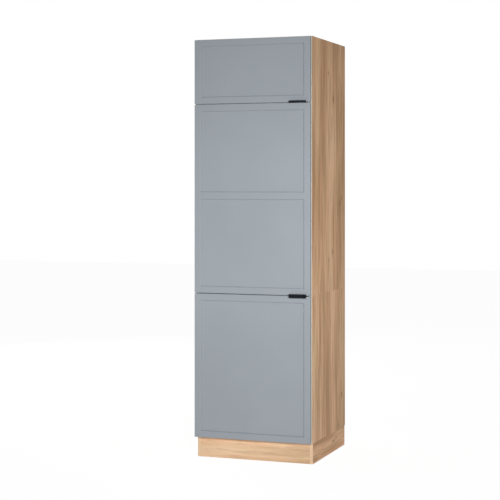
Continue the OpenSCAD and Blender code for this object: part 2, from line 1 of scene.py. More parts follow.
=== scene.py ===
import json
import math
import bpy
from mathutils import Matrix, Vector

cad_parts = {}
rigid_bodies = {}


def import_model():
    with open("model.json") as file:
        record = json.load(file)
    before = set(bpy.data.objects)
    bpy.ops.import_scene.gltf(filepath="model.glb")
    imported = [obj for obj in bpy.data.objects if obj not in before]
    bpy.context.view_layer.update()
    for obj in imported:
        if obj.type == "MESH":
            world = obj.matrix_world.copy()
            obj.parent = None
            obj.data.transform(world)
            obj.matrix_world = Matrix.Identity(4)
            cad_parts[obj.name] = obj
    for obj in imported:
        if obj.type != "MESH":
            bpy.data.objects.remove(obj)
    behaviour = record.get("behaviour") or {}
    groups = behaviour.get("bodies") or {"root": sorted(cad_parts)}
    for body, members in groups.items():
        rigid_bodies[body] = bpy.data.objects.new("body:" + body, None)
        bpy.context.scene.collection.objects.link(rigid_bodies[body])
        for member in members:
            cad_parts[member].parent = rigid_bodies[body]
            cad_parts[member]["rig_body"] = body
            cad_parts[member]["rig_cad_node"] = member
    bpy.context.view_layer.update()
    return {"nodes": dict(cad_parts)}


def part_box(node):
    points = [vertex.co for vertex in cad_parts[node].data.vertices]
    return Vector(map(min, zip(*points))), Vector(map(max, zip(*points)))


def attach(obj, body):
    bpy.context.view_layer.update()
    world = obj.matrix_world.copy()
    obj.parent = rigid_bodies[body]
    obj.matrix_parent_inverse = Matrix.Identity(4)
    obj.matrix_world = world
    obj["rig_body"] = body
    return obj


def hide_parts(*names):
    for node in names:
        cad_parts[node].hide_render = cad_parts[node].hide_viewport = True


bl_info = {
    "name": "Fridge housing unit",
    "version": (1, 0, 0),
    "blender": (4, 5, 0),
    "location": "3D View > Sidebar > Cabinet",
    "description": "Dresses a tall fridge cabinet with lacquered fronts, oak decor, edge pulls and fittings",
    "category": "Object",
}

import bpy
from mathutils import Matrix, Vector

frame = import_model()
NODES = frame["nodes"]

# Doors, and the names of like CAD nodes
DOORS = ("top", "middle", "bottom")
FEET = ("foot_front_left", "foot_front_right", "foot_rear_left", "foot_rear_right")
SHELVES = ("top_panel", "bottom_panel", "niche_floor", "niche_ceiling", "adjustable_shelf")
RAILS = ("rear_rail_bottom", "rear_rail_niche", "rear_rail_top")

# Radii of eased edges, in metres: of sheet metal, small parts, boards, plinth and foot pads, and door pads
SHEET_EDGE = 0.00015
FINE_EDGE = 0.0003
BOARD_EDGE = 0.0004
BLUNT_EDGE = 0.0005
SOFT_EDGE = 0.0006

# Depth within which a face counts as part of a board's outer edge
RIM = 0.0005

# How far apart two lengths that count as the same may be
CLOSE = 1e-5

# Hinge cups: their place across the door, the radius of their bore and half the height of a cup's plate
CUP_X = -0.2775
CUP_RADIUS = 0.01755
CUP_HALF = 0.0285


# Making meshes


def same(a, b):
    return abs(a - b) < CLOSE


def deselect():
    if bpy.context.object and bpy.context.object.mode != "OBJECT":
        bpy.ops.object.mode_set(mode="OBJECT")
    bpy.ops.object.select_all(action="DESELECT")


def only(piece):
    deselect()
    piece.select_set(True)
    bpy.context.view_layer.objects.active = piece


def edit_all(piece):
    only(piece)
    bpy.ops.object.mode_set(mode="EDIT")
    bpy.ops.mesh.select_all(action="SELECT")


def done():
    bpy.ops.object.mode_set(mode="OBJECT")


def edit(piece, kind, test):
    """Goes into edit mode with the faces, edges or vertices that pass the test selected."""
    only(piece)
    bpy.ops.object.mode_set(mode="EDIT")
    bpy.ops.mesh.select_mode(type=kind)
    bpy.ops.mesh.select_all(action="DESELECT")
    done()
    mesh = piece.data
    found = 0
    if kind == "FACE":
        for face in mesh.polygons:
            face.select = bool(test(face.center, face.normal))
            found += face.select
    elif kind == "EDGE":
        for edge in mesh.edges:
            ends = [mesh.vertices[i].co for i in edge.vertices]
            edge.select = bool(test(ends[0], ends[1]))
            found += edge.select
    else:
        for vertex in mesh.vertices:
            vertex.select = bool(test(vertex.co))
            found += vertex.select
    bpy.ops.object.mode_set(mode="EDIT")
    if not found:
        raise RuntimeError(f"nothing of {piece.name} was selected")


def bevel(piece, kind, radius, segments, test):
    """Rounds the edges, or the corners of a sheet, that pass the test."""
    edit(piece, kind, test)
    affect = {"EDGE": "EDGES", "VERT": "VERTICES"}[kind]
    bpy.ops.mesh.bevel(offset=radius, segments=segments, affect=affect)
    done()


def slice_at(piece, cuts):
    """Cuts a piece's faces along planes, each given by a point and its normal, and leaves it whole."""
    edit_all(piece)
    for point, normal in cuts:
        bpy.ops.mesh.select_all(action="SELECT")
        bpy.ops.mesh.bisect(plane_co=point, plane_no=normal)
    done()


def raise_faces(height):
    """Extrudes the selected faces up, or down by a height below zero."""
    bpy.ops.mesh.extrude_region_move(TRANSFORM_OT_translate={"value": (0, 0, height)})


def narrow(share, height):
    """Scales what is selected towards the upright axis."""
    bpy.ops.transform.resize(value=(share, share, 1), center_override=(0, 0, height))


def box(name, low, high):
    """A box between two corners, with its place in its mesh."""
    deselect()
    centre = [(a + b) / 2 for a, b in zip(low, high)]
    bpy.ops.mesh.primitive_cube_add(size=1, location=centre)
    piece = bpy.context.object
    piece.name = name
    piece.scale = [b - a for a, b in zip(low, high)]
    bpy.ops.object.transform_apply(location=True, rotation=True, scale=True)
    return piece


def drum(name, centre, radius, depth, sides=48, lying=False):
    """A round bar about its centre, upright or lying from front to back."""
    deselect()
    turn = (math.pi / 2 if lying else 0, 0, 0)
    bpy.ops.mesh.primitive_cylinder_add(
        vertices=sides, radius=radius, depth=depth, location=centre, rotation=turn
    )
    piece = bpy.context.object
    piece.name = name
    bpy.ops.object.transform_apply(location=True, rotation=True, scale=True)
    return piece


def modify(piece, kind, **settings):
    """Adds a modifier with these settings and applies it."""
    only(piece)
    modifier = piece.modifiers.new(kind.title(), kind)
    for key, value in settings.items():
        setattr(modifier, key, value)
    bpy.ops.object.modifier_apply(modifier=modifier.name)


def cut(piece, tool):
    """Takes the tool out of the piece and deletes it."""
    modify(piece, "BOOLEAN", operation="DIFFERENCE", object=tool, solver="EXACT")
    bpy.data.objects.remove(tool)


def join(name, pieces):
    deselect()
    for piece in pieces:
        piece.select_set(True)
    bpy.context.view_layer.objects.active = pieces[0]
    bpy.ops.object.join()
    pieces[0].name = name
    pieces[0].data.name = name
    return pieces[0]


def turned(degrees, axis):
    return Matrix.Rotation(math.radians(degrees), 4, axis)


def twin(piece, place, name):
    """A copy of a piece with its own mesh, moved to a place."""
    made = piece.copy()
    made.data = piece.data.copy()
    made.data.transform(place)
    made.name = name
    made.data.name = name
    bpy.context.scene.collection.objects.link(made)
    return made


def copy_to(piece, places, name):
    """Copies of a piece, moved to the places and joined."""
    copies = [twin(piece, place, name) for place in places]
    bpy.data.objects.remove(piece)
    return join(name, copies)


def smooth(piece, angle=35):
    """Smooth shading with sharp corners, and flat faces that stay flat."""
    only(piece)
    bpy.ops.object.shade_smooth_by_angle(angle=math.radians(angle))
    modify(piece, "WEIGHTED_NORMAL", keep_sharp=True, weight=100)


def ease(piece, width, segments=2, angle=30):
    """Rounds the piece's sharp edges a little."""
    modify(
        piece,
        "BEVEL",
        width=width,
        segments=segments,
        limit_method="ANGLE",
        angle_limit=math.radians(angle),
        use_clamp_overlap=True,
    )
    smooth(piece)


def softened(node, width, segments=2, name=None):
    """A copy of a CAD node as one clean mesh with eased edges."""
    source = NODES[node]
    piece = source.copy()
    piece.data = source.data.copy()
    piece.parent = None
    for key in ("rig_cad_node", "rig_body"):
        if key in piece:
            del piece[key]
    bpy.context.scene.collection.objects.link(piece)
    piece.name = name or node + "_finished"
    piece.data.name = piece.name
    piece.data.materials.clear()
    edit_all(piece)
    bpy.ops.mesh.remove_doubles(threshold=1e-6)
    bpy.ops.mesh.dissolve_limited(angle_limit=math.radians(0.5))
    done()
    ease(piece, width, segments)
    low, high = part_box(node)
    for vertex in piece.data.vertices:
        vertex.co = [min(max(v, a), b) for v, a, b in zip(vertex.co, low, high)]
    return piece


def places_of(node):
    """The boxes of a CAD node's separate solids, found on a copy of it."""
    edit_all(softened(node, CLOSE, 1, "parts_of_" + node))
    bpy.ops.mesh.separate(type="LOOSE")
    done()
    boxes = []
    for part in list(bpy.context.selected_objects):
        spots = [vertex.co for vertex in part.data.vertices]
        low = Vector([min(spot[axis] for spot in spots) for axis in range(3)])
        high = Vector([max(spot[axis] for spot in spots) for axis in range(3)])
        boxes.append((low, high))
        bpy.data.objects.remove(part)
    return sorted(boxes, key=lambda pair: tuple(round(v, 5) for v in pair[0]))


def cup_heights(door):
    """Heights of the hinges of a door, from the box of its cups."""
    low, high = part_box("hinge_cups_" + door)
    ends = [low.z + CUP_HALF, high.z - CUP_HALF]
    return [ends[0], (ends[0] + ends[1]) / 2, ends[1]] if door == "middle" else ends


def settle(piece, node, *skins):
    """Puts a finished piece on its CAD node's body in place of the node."""
    for finish in skins:
        piece.data.materials.append(finish)
    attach(piece, NODES[node]["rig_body"])
    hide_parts(node)


def paint(piece, index, test):
    """Gives the faces that pass the test the material with this index."""
    for face in piece.data.polygons:
        if test(face.center, face.normal):
            face.material_index = index


# Making materials


def shader_node(tree, kind, inputs=None, **settings):
    """A shader node whose inputs are values or other nodes' outputs."""
    made = tree.nodes.new("ShaderNode" + kind)
    for key, value in settings.items():
        setattr(made, key, value)
    for key, value in (inputs or {}).items():
        socket = made.inputs[key]
        if isinstance(value, bpy.types.NodeSocket):
            tree.links.new(value, socket)
        else:
            socket.default_value = value
    return made


def math_node(tree, operation, a, b=0.0, c=0.0):
    return shader_node(tree, "Math", {0: a, 1: b, 2: c}, operation=operation).outputs[0]


def times(tree, a, b):
    return math_node(tree, "MULTIPLY", a, b)


def times_plus(tree, a, b, c):
    return math_node(tree, "MULTIPLY_ADD", a, b, c)


def larger(tree, a, b):
    """The larger of two values. The first may be missing."""
    return b if a is None else math_node(tree, "MAXIMUM", a, b)


def ranged(tree, value, low, high, to_low=0.0, to_high=1.0, smoothed=True):
    kind = "SMOOTHSTEP" if smoothed else "LINEAR"
    inputs = {"Value": value, "From Min": low, "From Max": high, "To Min": to_low, "To Max": to_high}
    return shader_node(tree, "MapRange", inputs, interpolation_type=kind).outputs["Result"]


def vector(tree, x, y, z=0.0):
    return shader_node(tree, "CombineXYZ", {0: x, 1: y, 2: z}).outputs[0]


def vector_node(tree, operation, a, b):
    return shader_node(tree, "VectorMath", {0: a, 1: b}, operation=operation).outputs[0]


def blend(tree, factor, a, b, how="MIX"):
    inputs = {0: factor, 6: a, 7: b}
    return shader_node(tree, "Mix", inputs, data_type="RGBA", blend_type=how).outputs[2]


def cover(tree, base, mask, share, tone, how="MIX"):
    """Lays a share of a tone over a colour where the mask is white."""
    return blend(tree, times(tree, mask, share), base, tone, how)


def noise(tree, place, scale, detail=2.0, rough=0.5):
    inputs = {"Vector": place, "Scale": scale, "Detail": detail, "Roughness": rough}
    return shader_node(tree, "TexNoise", inputs).outputs["Fac"]


def fibre_noise(tree, place, often, detail, rough=0.6):
    """Noise that changes as often in a metre along each axis as the three numbers say."""
    return noise(tree, vector_node(tree, "MULTIPLY", place, often), 1.0, detail, rough)


def linear(colour):
    """A colour written as it shows on a screen, as the shader wants it."""
    return [(c / 12.92 if c <= 0.04045 else ((c + 0.055) / 1.055) ** 2.4) for c in colour[:3]] + [1.0]


def shade(colour, factor):
    """A lighter or darker tone of a colour."""
    return linear([min(1.0, c * factor) for c in colour])


def new_skin(name):
    """A new material, with its tree, its shader and the object coordinates."""
    made = bpy.data.materials.new(name)
    made.use_nodes = True
    tree = made.node_tree
    shader = tree.nodes["Principled BSDF"]
    place = shader_node(tree, "TexCoord").outputs["Object"]
    return made, tree, shader, place


def surface(tree, shader, base, rough, specular=0.5):
    """Gives a shader its colour, its roughness and how strongly it mirrors."""
    tree.links.new(base, shader.inputs["Base Color"])
    tree.links.new(rough, shader.inputs["Roughness"])
    shader.inputs["Specular IOR Level"].default_value = specular


def relief(tree, shader, height, depth, strength):
    """Lets a height between 0 and 1 raise the surface by a depth in metres."""
    bump = shader_node(tree, "Bump", {"Height": height, "Distance": depth, "Strength": strength})
    tree.links.new(bump.outputs["Normal"], shader.inputs["Normal"])


# The axes along and across the grain and into the board, by the grain's direction
GRAIN = {"X": (0, 1, 2), "Y": (1, 2, 0), "Z": (2, 1, 0)}

# How far the print of the next decor sheet is shifted along and across the grain
NEXT_SHEET = (0.21, 0.037)

# Tints that the oak decor is multiplied with in its reddish and greenish patches and its heartwood
BLUSH = (1.02, 0.955, 0.93, 1.0)
OLIVE = (0.93, 0.97, 0.90, 1.0)
HEARTWOOD = (0.86, 0.87, 0.84, 1.0)


def bend_round_knots(tree, along, across, knots, seam):
    """Bends the grain round each knot, and finds the knots' cores and the wood round them."""
    core = None
    ring = None
    for u, v, size in knots:
        shift = NEXT_SHEET if seam is not None and u > seam else (0.0, 0.0)
        off_along = math_node(tree, "ADD", along, -u - shift[0])
        off_across = math_node(tree, "ADD", across, -v - shift[1])
        oval = vector(tree, times(tree, off_along, 0.42), off_across)
        reach = shader_node(tree, "VectorMath", {0: oval}, operation="LENGTH").outputs["Value"]
        inner = ranged(tree, reach, size * 0.35, size * 1.1, 1.0, 0.0)
        outer = ranged(tree, reach, size * 0.8, size * 4.0, 1.0, 0.0)
        pushed = times(tree, times(tree, off_across, outer), -0.55)
        across = math_node(tree, "ADD", across, pushed)
        core = larger(tree, core, inner)
        ring = larger(tree, ring, outer)
    return across, core, ring


def oak(name, grain, tones, knots=(), seam=None, heart=None, offset=(0.0, 0.0, 0.0), figure=1.0):
    """Oak decor in three tones. The grain runs along an axis, and the knots are given along and across it.

    The decor's next sheet begins at the seam, and the wood darkens across the heart's two edges.
    A figure below 1 is a calmer one.
    """
    made, tree, shader, place = new_skin(name)
    dark, main_tone, light = tones
    parts = shader_node(tree, "SeparateXYZ", {0: place}).outputs
    along, across, deep = (parts[i] for i in GRAIN[grain])
    spot = across
    if seam is not None:
        above = math_node(tree, "GREATER_THAN", along, seam)
        across = times_plus(tree, above, NEXT_SHEET[1], across)
        along = times_plus(tree, above, NEXT_SHEET[0], along)
    across, core, ring = bend_round_knots(tree, along, across, knots, seam)
    placed = vector_node(tree, "ADD", vector(tree, along, across, deep), offset)
    sway = fibre_noise(tree, placed, (1.7, 5.0, 5.0), 2.0, 0.5)
    swayed = vector_node(tree, "ADD", placed, vector(tree, 0.0, times(tree, sway, 0.06)))

    def fibre(often_along, often_across, detail, rough=0.55):
        return fibre_noise(tree, swayed, (often_along, often_across, often_across), detail, rough)

    # The figure: broad patches, streaks and fine fibres, spread over the three tones
    patches = fibre(1.2, 9.5, 2.0)
    streaks = fibre(2.3, 45.0, 4.0, 0.6)
    fibres = fibre(6.0, 330.0, 3.0, 0.6)
    value = times(tree, patches, 0.46)
    value = times_plus(tree, streaks, 0.42, value)
    value = times_plus(tree, fibres, 0.12, value)
    middle = 0.502
    reach = 0.085 / figure
    value = ranged(tree, value, middle - reach, middle + reach, smoothed=False)
    ramp = shader_node(tree, "ValToRGB", {"Fac": value})
    stops = ramp.color_ramp.elements
    stops[0].color = linear(dark)
    stops[1].color = linear(light)
    stops.new(0.5).color = linear(main_tone)
    colour = ramp.outputs["Color"]

    # What lies over the figure: two tints, dark flecks and pores, heartwood and knots
    darkest = shade(dark, 0.62)
    blush = ranged(tree, fibre(1.9, 21.0, 1.0), 0.48, 0.66)
    olive = ranged(tree, fibre(1.6, 17.0, 1.0, 0.4), 0.34, 0.50, 1.0, 0.0)
    flecks = ranged(tree, fibre(5.0, 95.0, 2.0), 0.53, 0.66)
    pores = ranged(tree, fibre(45.0, 1300.0, 1.0), 0.60, 0.72)
    colour = cover(tree, colour, blush, 0.7, BLUSH, "MULTIPLY")
    colour = cover(tree, colour, olive, 0.6, OLIVE, "MULTIPLY")
    colour = cover(tree, colour, flecks, 0.6 * figure, shade(dark, 0.92))
    colour = cover(tree, colour, pores, 0.26, darkest)
    if heart is not None:
        wander = times_plus(tree, sway, 0.10, spot)
        darker = ranged(tree, wander, heart[0] + 0.05, heart[1] + 0.05)
        colour = cover(tree, colour, darker, 0.8, HEARTWOOD, "MULTIPLY")
    if core is not None:
        colour = cover(tree, colour, ring, 0.25, linear(dark))
        colour = cover(tree, colour, core, 0.75, darkest)
    surface(tree, shader, colour, times_plus(tree, streaks, 0.16, 0.46), 0.3)
    height = times_plus(tree, fibres, 0.5, times(tree, pores, -0.5))
    relief(tree, shader, height, 0.00012, 0.6)
    return made


def lacquer(name, colour, low, high):
    """Matte lacquer on a front, with a painted highlight that makes it slightly lighter along its outer
    edges.
    """
    made, tree, shader, place = new_skin(name)
    mottled = ranged(tree, noise(tree, place, 2.4), 0.3, 0.7)
    mist = noise(tree, place, 38.0, 3.0, 0.6)
    base = blend(tree, mottled, shade(colour, 0.985), shade(colour, 1.012))
    base = cover(tree, base, mist, 0.06, shade(colour, 0.93))
    parts = shader_node(tree, "SeparateXYZ", {0: place}).outputs
    # Painted highlight: a rim about 2 mm wide along the front's left, right, top and bottom edges is
    # lightened, broken up by noise
    edge = None
    for axis in (0, 2):
        centre = (low[axis] + high[axis]) / 2
        half = (high[axis] - low[axis]) / 2
        off = math_node(tree, "ABSOLUTE", math_node(tree, "ADD", parts[axis], -centre))
        edge = larger(tree, edge, ranged(tree, off, half - 0.0022, half - 0.0004))
    broken_edge_highlight = ranged(tree, noise(tree, place, 55.0, 3.0, 0.6), 0.42, 0.62)
    base = cover(tree, base, times(tree, edge, broken_edge_highlight), 0.22, shade(colour, 1.14))
    surface(tree, shader, base, times_plus(tree, mist, 0.10, 0.40), 0.35)
    relief(tree, shader, noise(tree, place, 420.0), 0.00006, 0.35)
    return made


def metal(name, colour, rough):
    """Plated steel with fine lines, cloudy spots and duller patches."""
    made, tree, shader, place = new_skin(name)
    lines = fibre_noise(tree, place, (40.0, 40.0, 900.0), 3.0)
    cloud = noise(tree, place, 60.0, 3.0, 0.6)
    base = blend(tree, cloud, shade(colour, 0.90), shade(colour, 1.05))
    spread = times_plus(tree, lines, 0.16, rough - 0.12)
    surface(tree, shader, base, times_plus(tree, cloud, 0.12, spread))
    shader.inputs["Metallic"].default_value = 1.0
    relief(tree, shader, lines, 0.00002, 0.4)
    return made


def powder(name, colour, rough, often, depth):
    """Powder coat or moulded plastic: a fine pebbled surface with worn, lighter spots."""
    made, tree, shader, place = new_skin(name)
    pebbles = noise(tree, place, often, 2.0, 0.55)
    cloud = noise(tree, place, 70.0, 3.0, 0.6)
    worn = linear([min(1.0, c * 1.25 + 0.012) for c in colour])
    base = blend(tree, ranged(tree, cloud, 0.35, 0.75), linear(colour), worn)
    surface(tree, shader, base, times_plus(tree, cloud, 0.16, rough - 0.08), 0.4)
    relief(tree, shader, pebbles, depth, 0.5)
    return made


def hardboard(name, colour):
    """Thin pressed board with short fibres and a printed face."""
    made, tree, shader, place = new_skin(name)
    fibres = fibre_noise(tree, place, (260.0, 260.0, 700.0), 4.0, 0.7)
    cloud = noise(tree, place, 7.0, 3.0, 0.6)
    base = blend(tree, fibres, shade(colour, 0.88), shade(colour, 1.06))
    base = cover(tree, base, cloud, 0.3, shade(colour, 0.9))
    surface(tree, shader, base, times_plus(tree, fibres, 0.2, 0.62))
    relief(tree, shader, fibres, 0.0001, 0.5)
    return made


def chipboard(name, colour):
    """The raw edge of a board: pressed chips of several tones with dust between them."""
    made, tree, shader, place = new_skin(name)
    cells = shader_node(tree, "TexVoronoi", {"Vector": place, "Scale": 380.0}).outputs["Color"]
    tone = shader_node(tree, "SeparateColor", {"Color": cells}).outputs["Red"]
    dust = noise(tree, place, 1500.0, 2.0, 0.6)
    base = blend(tree, tone, shade(colour, 0.82), shade(colour, 1.08))
    base = cover(tree, base, dust, 0.35, shade(colour, 0.72))
    surface(tree, shader, base, times_plus(tree, dust, 0.2, 0.7))
    relief(tree, shader, tone, 0.0002, 0.5)
    return made


def edge_band(name, colour, grain):
    """A thin plastic strip on a board's edge, printed with fine lines."""
    made, tree, shader, place = new_skin(name)
    often = [6.0 if axis == grain else 700.0 for axis in "XYZ"]
    lines = fibre_noise(tree, place, often, 3.0)
    base = blend(tree, lines, shade(colour, 0.9), shade(colour, 1.05))
    surface(tree, shader, base, times_plus(tree, lines, 0.15, 0.4))
    relief(tree, shader, lines, 0.00004, 0.4)
    return made


SKINS = {}

# Knots of the side panels: height, place from front to back and size
KNOTS_RIGHT = (
    (1.895, 0.0065, 0.006), (1.771, 0.0925, 0.011), (1.2755, 0.2355, 0.008), (1.2476, 0.211, 0.009),
    (1.005, 0.0805, 0.008), (0.964, 0.017, 0.006), (0.269, 0.2425, 0.010), (0.12, 0.19, 0.007),
)
KNOTS_LEFT = ((1.62, -0.11, 0.009), (0.92, 0.17, 0.008), (0.31, -0.02, 0.010))

# Knot of the plinth's side boards: place from front to back, height and size
KNOT_PLINTH = ((0.10, 0.055, 0.007),)

# Height of the seam in the right panel's decor, and the edges of its heartwood
SEAM = 0.811
HEART = (0.13, 0.27)

# Dark, main and light tone of the beech dowels
BEECH = ((0.80, 0.66, 0.48), (0.85, 0.72, 0.55), (0.89, 0.77, 0.61))


def make_skins():
    """Makes each shared material once."""
    look = bpy.context.scene.cabinet_looks
    tones = (look.oak_dark, look.oak_mid, look.oak_light)
    # Painted light: the plinth front gets a lighter, cooler copy of the oak tones, standing in for the
    # stronger light on the front than on the plinth's sides
    plinth = [[min(1.0, c * t) for c, t in zip(tone, look.plinth_front_painted_light)] for tone in tones]
    SKINS["side_right"] = oak(
        "oak_decor_right", "Z", tones, KNOTS_RIGHT, SEAM, HEART, offset=(6.47, 3.72, 2.72), figure=0.92
    )
    SKINS["side_left"] = oak("oak_decor_left", "Z", tones, KNOTS_LEFT, offset=(0.7, 0.3, 0.2))
    SKINS["inside"] = oak("oak_decor_inside", "X", tones, offset=(0.2, 1.3, 0.6))
    SKINS["plinth_x"] = oak("oak_decor_plinth_front_painted_light", "X", plinth, offset=(7.61, 4.08, 0.3), figure=0.6)
    SKINS["plinth_y"] = oak("oak_decor_plinth_side", "Y", tones, KNOT_PLINTH, offset=(0.9, 0.8, 2.4))
    SKINS["dowel"] = oak("beech_dowel", "X", BEECH, offset=(3.0, 0.0, 0.0))
    SKINS["band_plinth"] = edge_band("edge_band_plinth", look.band_plinth, "Z")
    # Grey band behind the doors' gaps: painted shade in place of an oak-toned band, so that the gaps read
    # dark and grey
    SKINS["band_niche"] = edge_band("edge_band_painted_gap_shade", look.band_niche, "X")
    SKINS["band_z"] = edge_band("edge_band_upright", look.band, "Z")
    SKINS["band_x"] = edge_band("edge_band_level", look.band, "X")
    SKINS["hardboard"] = hardboard("back_hardboard", look.hardboard)
    SKINS["raw_edge"] = chipboard("raw_chipboard_edge", look.raw_edge)
    SKINS["pull"] = powder("black_powder_coat", look.pull, 0.46, 2600.0, 0.00005)
    SKINS["plastic"] = powder("black_moulded_plastic", look.plastic, 0.5, 1800.0, 0.00008)
    SKINS["rubber"] = powder("soft_bumper", look.rubber, 0.35, 900.0, 0.00003)
    SKINS["zinc"] = metal("zinc_plated_steel", look.zinc, 0.38)
    SKINS["nickel"] = metal("nickel_plated_steel", look.nickel, 0.30)


# The sizes and colours that a user would change


def size_prop(name, description, default, low, high):
    """A length in metres with its least and greatest value."""
    return bpy.props.FloatProperty(
        name=name, description=description, default=default, min=low, max=high, unit="LENGTH"
    )


def colour_prop(name, description, default):
    """A colour as it shows on a screen."""
    return bpy.props.FloatVectorProperty(
        name=name, description=description, default=default, min=0, max=1, subtype="COLOR_GAMMA"
    )


class CabinetFronts(bpy.types.PropertyGroup):
    frame_width: size_prop("Frame width", "Width of the flat frame round a field", 0.030, 0.02, 0.06)
    rail_height: size_prop(
        "Middle rail", "Height of the rail between the two fields of the middle door", 0.031, 0.02, 0.08
    )
    rail_place: size_prop(
        "Rail place", "Height of that rail's middle above the door's lower edge", 0.4765, 0.2, 0.7
    )
    edge_radius: size_prop("Edge radius", "Radius of the front edges of a door", 0.001, 0.0003, 0.004)
    back_radius: size_prop("Back edge radius", "Radius of the rear edges of a door", 0.0004, 0.0001, 0.002)


class CabinetPulls(bpy.types.PropertyGroup):
    sheet: size_prop("Sheet", "Thickness of the sheet of a pull", 0.0015, 0.001, 0.003)
    corner: size_prop("Corner radius", "Radius of the lip's corners", 0.004, 0.001, 0.006)
    bend: size_prop(
        "Bend radius", "Radius of the two bends, at the middle of the sheet", 0.0009, 0.0005, 0.003
    )


class CabinetLooks(bpy.types.PropertyGroup):
    lacquer: colour_prop("Fronts", "Colour of the lacquered fronts", (0.622, 0.648, 0.672))
    oak_dark: colour_prop("Oak, dark", "Darkest streaks of the oak decor", (0.80, 0.634, 0.477))
    oak_mid: colour_prop("Oak, middle", "Main tone of the oak decor", (0.928, 0.746, 0.586))
    oak_light: colour_prop("Oak, light", "Lightest streaks of the oak decor", (0.995, 0.832, 0.667))
    # Painted light: lifts the plinth front's decor above the tones of the plinth's sides, which carry the
    # same oak
    plinth_front_painted_light: bpy.props.FloatVectorProperty(
        name="Plinth tint", description="How much lighter the decor of the plinth is than the carcass's",
        default=(0.988, 1.046, 1.09), min=0.5, max=1.5, subtype="XYZ",
    )
    band: colour_prop("Edge band", "Strips on the edges of the boards", (0.88, 0.84, 0.77))
    band_plinth: colour_prop(
        "Plinth edge band", "Strips on the front edges of the plinth's side boards", (0.945, 0.81, 0.667)
    )
    # The grey of this band is painted shade that makes the doors' gaps read dark
    band_niche: colour_prop(
        "Band behind the gaps", "Grey strips on the boards behind the doors' gaps", (0.80, 0.82, 0.85)
    )
    hardboard: colour_prop("Back panel", "Thin board at the back", (0.78, 0.70, 0.58))
    raw_edge: colour_prop("Raw edges", "Chipboard at the top, bottom and rear edges", (0.78, 0.67, 0.53))
    pull: colour_prop("Pulls", "Powder coat of the pulls", (0.030, 0.052, 0.085))
    plastic: colour_prop("Plastic", "Moulded plastic of the feet", (0.13, 0.13, 0.135))
    zinc: colour_prop("Screws", "Zinc plated steel", (0.80, 0.81, 0.82))
    nickel: colour_prop("Hinges", "Nickel plated steel", (0.84, 0.83, 0.81))
    rubber: colour_prop("Bumpers", "Soft pads behind the doors", (0.84, 0.85, 0.86))


class CabinetStage(bpy.types.PropertyGroup):
    key_power: bpy.props.FloatProperty(
        name="Key light", description="Power of the soft light beside the camera",
        default=20.8, min=0, unit="POWER",
    )
    key_spread: bpy.props.FloatProperty(
        name="Key spread", description="Angle over which the key light fades out",
        default=math.radians(36), min=0.1, max=math.pi, subtype="ANGLE",
    )
    fill_power: bpy.props.FloatProperty(
        name="Fill light", description="Power of the wide light behind the left side",
        default=85.0, min=0, unit="POWER",
    )
    sky: bpy.props.FloatProperty(
        name="Room light", description="Strength of the even light from all sides",
        default=0.14, min=0, max=2,
    )
    floor_shade: bpy.props.FloatProperty(
        name="Floor shade", description="Share of the floor's light that a shadow can take away",
        default=0.08, min=0, max=1, subtype="FACTOR",
    )
    floor_bounce: bpy.props.FloatProperty(
        name="Floor bounce", description="Light that the floor sends up besides what falls on it",
        default=0.2, min=0, max=1,
    )


# Pieces


